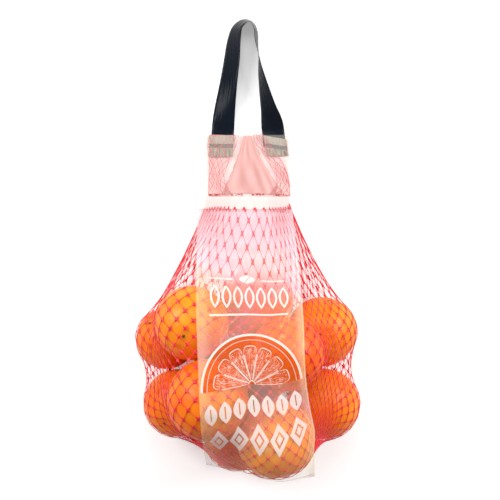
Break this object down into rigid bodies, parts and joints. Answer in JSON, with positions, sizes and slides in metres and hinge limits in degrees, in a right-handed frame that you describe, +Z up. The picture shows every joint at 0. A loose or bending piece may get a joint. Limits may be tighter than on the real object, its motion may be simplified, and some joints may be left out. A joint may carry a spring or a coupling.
{
  "type": "net bag of oranges",
  "caption": "Net bag of oranges lying on its back, with a film label, a folded film header and a flat carrying strap.",
  "frame": {"origin": "centre of the bounding box in plan, on the surface the bag lies on", "axes": "+Y from the bottom seam towards the strap, +Z up out of the label, +X to the right seen from above"},
  "size_m": [0.2248, 0.4595, 0.1462],
  "materials": {
    "net": "extruded plastic netting, soft gloss",
    "peel": "waxy pored orange peel",
    "label_film": "thin frosted clear film with white print",
    "header_film": "folded cream film, heat sealed",
    "strap": "glossy dark ribbon film"
  },
  "bodies": {
    "root": {"net_bag": "net", "label_film": "label_film", "header_film": "header_film", "handle_strap": "strap"}
  },
  "joints": []
}
